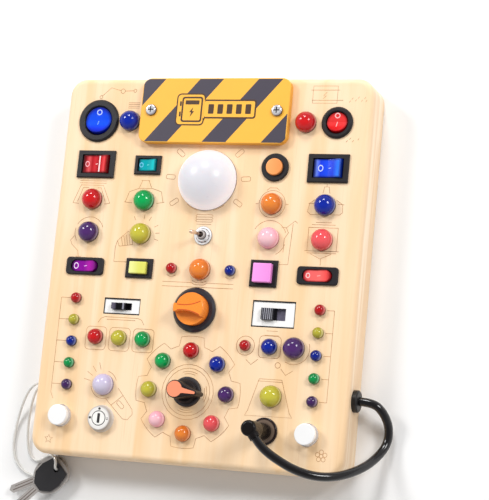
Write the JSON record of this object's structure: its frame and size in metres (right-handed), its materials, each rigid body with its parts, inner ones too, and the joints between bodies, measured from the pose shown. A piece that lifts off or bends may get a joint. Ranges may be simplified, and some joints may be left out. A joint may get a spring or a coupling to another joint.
{
  "type": "busy board",
  "caption": "Wooden busy board with rocker, push, toggle, slide and rotary switches, coloured indicator caps, a round lamp, a key lock, a patch cable and keys on a string.",
  "frame": {"origin": "middle of the board's back, on the plane it rests on", "axes": "+Z out of the face, towards the user; +Y along the face to the top edge; +X to the right"},
  "size_m": [0.3034, 0.3325, 0.0677],
  "materials": {
    "wood": "satin varnished pine",
    "panel": "matte printed board",
    "steel": "plated steel",
    "chrome": "polished",
    "brass": "plain",
    "key_steel": "nickel plated",
    "lid": "yellow with dark stripes",
    "black": "satin black",
    "black_gloss": "glossy black",
    "cable": "glossy black sheath",
    "cells": "gloss sleeve",
    "circuit": "green solder mask",
    "led": "clear lens",
    "milky": "milky",
    "cap_red": "glossy translucent",
    "cap_green": "glossy translucent",
    "cap_blue": "glossy translucent",
    "cap_purple": "glossy translucent",
    "cap_yellow": "glossy translucent",
    "cap_orange": "glossy translucent",
    "cap_pink": "glossy translucent",
    "cap_coral": "glossy translucent",
    "cap_white": "glossy milky",
    "rocker_blue": "glossy translucent",
    "rocker_red": "glossy translucent",
    "rocker_teal": "glossy translucent",
    "rocker_magenta": "glossy translucent",
    "rocker_coral": "glossy translucent",
    "button_orange": "glossy",
    "button_lime": "glossy",
    "button_pink": "glossy",
    "white": "glossy white",
    "plate_white": "satin white",
    "knob_orange": "glossy orange",
    "gear_knob": "glossy black with an orange inlay",
    "lock_metal": "satin",
    "string": "translucent"
  },
  "bodies": {
    "board": {"wooden_case": "wood", "back_panel": "panel", "back_screws": "steel", "hazard_lid": "lid", "lid_screws": "steel", "battery_box": "black", "batteries": "cells", "red_caps": "cap_red", "green_caps": "cap_green", "blue_caps": "cap_blue", "purple_caps": "cap_purple", "yellow_caps": "cap_yellow", "orange_caps": "cap_orange", "pink_caps": "cap_pink", "coral_caps": "cap_coral", "white_cap": "cap_white", "indicator_leds": "led", "lamp_dome": "milky", "round_rocker_housings": "black", "wide_rocker_housings": "black", "small_rocker_housing": "black", "oval_rocker_housings": "black", "switch_blades": "brass", "round_button_housing": "black", "lime_button_housing": "black", "pink_button_housing": "black", "white_button_housings": "chrome", "toggle_housing": "chrome", "slide_plates": "plate_white", "slide_bodies": "black", "selector_base": "black_gloss", "gear_selector_base": "black", "lock_housing": "lock_metal", "jack_socket": "black", "patch_plug": "black", "patch_cable": "cable", "cable_gland": "black", "key_string": "string", "string_knot": "string", "key_heads": "black_gloss", "key_blades": "key_steel", "circuit_boards": "circuit"},
    "round_rocker_blue": {"round_rocker_blue": "rocker_blue"},
    "round_rocker_red": {"round_rocker_red": "rocker_red"},
    "wide_rocker_red": {"wide_rocker_red": "rocker_red"},
    "wide_rocker_blue": {"wide_rocker_blue": "rocker_blue"},
    "small_rocker_teal": {"small_rocker_teal": "rocker_teal"},
    "oval_rocker_magenta": {"oval_rocker_magenta": "rocker_magenta"},
    "oval_rocker_coral": {"oval_rocker_coral": "rocker_coral"},
    "round_button": {"round_button": "button_orange"},
    "lime_button": {"lime_button": "button_lime"},
    "pink_button": {"pink_button": "button_pink"},
    "white_button_left": {"white_button_left": "white"},
    "white_button_right": {"white_button_right": "white"},
    "toggle_lever": {"toggle_lever": "chrome"},
    "left_slide_thumb": {"left_slide_thumb": "black_gloss"},
    "right_slide_thumb": {"right_slide_thumb": "black_gloss"},
    "selector_knob": {"selector_knob": "knob_orange"},
    "gear_selector_knob": {"gear_selector_knob": "gear_knob"},
    "lock_cylinder": {"lock_cylinder": "lock_metal"}
  },
  "joints": [
    {"name": "round_rocker_blue_turn", "type": "hinge", "parent": "board", "child": "round_rocker_blue", "pos_m": [-0.0943, 0.111, 0.0307], "axis": [1, 0, 0], "range_deg": [0, 16]},
    {"name": "round_rocker_red_turn", "type": "hinge", "parent": "board", "child": "round_rocker_red", "pos_m": [0.0971, 0.111, 0.0307], "axis": [1, 0, 0], "range_deg": [0, 16]},
    {"name": "wide_rocker_red_turn", "type": "hinge", "parent": "board", "child": "wide_rocker_red", "pos_m": [-0.0924, 0.0768, 0.0307], "axis": [0, 1, 0], "range_deg": [0, 16]},
    {"name": "wide_rocker_blue_turn", "type": "hinge", "parent": "board", "child": "wide_rocker_blue", "pos_m": [0.0934, 0.0768, 0.0307], "axis": [0, 1, 0], "range_deg": [0, 16]},
    {"name": "small_rocker_teal_turn", "type": "hinge", "parent": "board", "child": "small_rocker_teal", "pos_m": [-0.0493, 0.0768, 0.0307], "axis": [0, 1, 0], "range_deg": [0, 16]},
    {"name": "oval_rocker_magenta_turn", "type": "hinge", "parent": "board", "child": "oval_rocker_magenta", "pos_m": [-0.0924, -0.0023, 0.0307], "axis": [0, 1, 0], "range_deg": [0, 16]},
    {"name": "oval_rocker_coral_turn", "type": "hinge", "parent": "board", "child": "oval_rocker_coral", "pos_m": [0.0924, -0.0023, 0.0307], "axis": [0, 1, 0], "range_deg": [0, 16]},
    {"name": "round_button_slide", "type": "slide", "parent": "board", "child": "round_button", "axis": [0, 0, -1], "range_m": [0, 0.0025], "stiffness_N_per_m": 250, "springref_m": -0.002},
    {"name": "lime_button_slide", "type": "slide", "parent": "board", "child": "lime_button", "axis": [0, 0, -1], "range_m": [0, 0.0025], "stiffness_N_per_m": 250, "springref_m": -0.002},
    {"name": "pink_button_slide", "type": "slide", "parent": "board", "child": "pink_button", "axis": [0, 0, -1], "range_m": [0, 0.0025], "stiffness_N_per_m": 250, "springref_m": -0.002},
    {"name": "white_button_left_slide", "type": "slide", "parent": "board", "child": "white_button_left", "axis": [0, 0, -1], "range_m": [0, 0.0025], "stiffness_N_per_m": 250, "springref_m": -0.002},
    {"name": "white_button_right_slide", "type": "slide", "parent": "board", "child": "white_button_right", "axis": [0, 0, -1], "range_m": [0, 0.0025], "stiffness_N_per_m": 250, "springref_m": -0.002},
    {"name": "toggle_lever_turn", "type": "hinge", "parent": "board", "child": "toggle_lever", "pos_m": [0.001, 0.02419, 0.0356], "axis": [0, 1, 0], "range_deg": [0, 26]},
    {"name": "left_slide_thumb_slide", "type": "slide", "parent": "board", "child": "left_slide_thumb", "axis": [1, 0, 0], "range_m": [0, 0.0034]},
    {"name": "right_slide_thumb_slide", "type": "slide", "parent": "board", "child": "right_slide_thumb", "axis": [1, 0, 0], "range_m": [0, 0.0084]},
    {"name": "selector_knob_turn", "type": "hinge", "parent": "board", "child": "selector_knob", "pos_m": [0.0003, -0.03156, 0.032], "axis": [0, 0, 1], "range_deg": [-180, 0]},
    {"name": "gear_selector_knob_turn", "type": "hinge", "parent": "board", "child": "gear_selector_knob", "pos_m": [0.0009, -0.09178, 0.032], "axis": [0, 0, 1], "continuous": true},
    {"name": "lock_cylinder_turn", "type": "hinge", "parent": "board", "child": "lock_cylinder", "pos_m": [-0.0655, -0.116, 0.032], "axis": [0, 0, 1], "range_deg": [-90, 0]}
  ]
}
